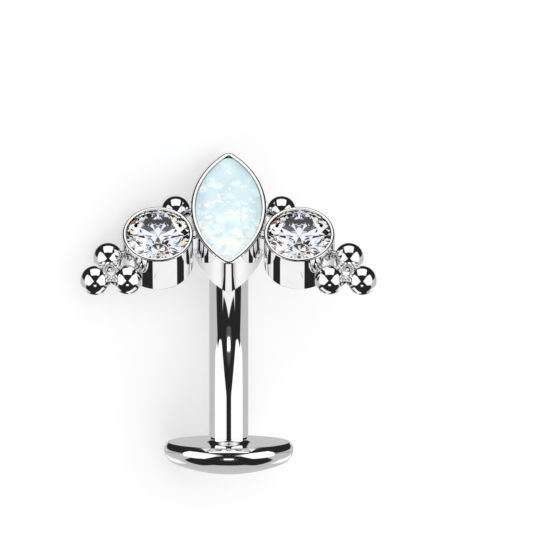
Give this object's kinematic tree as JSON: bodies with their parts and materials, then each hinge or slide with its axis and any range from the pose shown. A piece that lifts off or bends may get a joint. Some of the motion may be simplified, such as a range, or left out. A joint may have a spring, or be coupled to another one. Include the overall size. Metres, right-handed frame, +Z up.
{
  "type": "belly bar",
  "caption": "Curved navel bar with a domed disc foot and a push-fit top: a pointed pale opal flanked by round clear stones and bead clusters.",
  "frame": {"origin": "centre of the base of the part's box, on the surface that it lies on", "axes": "+Z up from the surface; the bar lies along X with its disc at the +X end and its jewelled top at the -X end"},
  "size_m": [0.0136, 0.0112, 0.0087],
  "materials": {
    "polished_metal": "mirror-polished silver-coloured titanium",
    "opal": "polished pale blue-white opal with cream flecks",
    "clear_stone": "polished brilliant-cut clear stone"
  },
  "bodies": {
    "bar": {"bar": "polished_metal"},
    "top": {"setting": "polished_metal", "opal": "opal", "left_stone": "clear_stone", "right_stone": "clear_stone"}
  },
  "joints": [
    {"name": "top_pull", "type": "slide", "parent": "bar", "child": "top", "axis": [-0.8343, -0.4553, 0.3108], "range_m": [0, 0.003]}
  ]
}
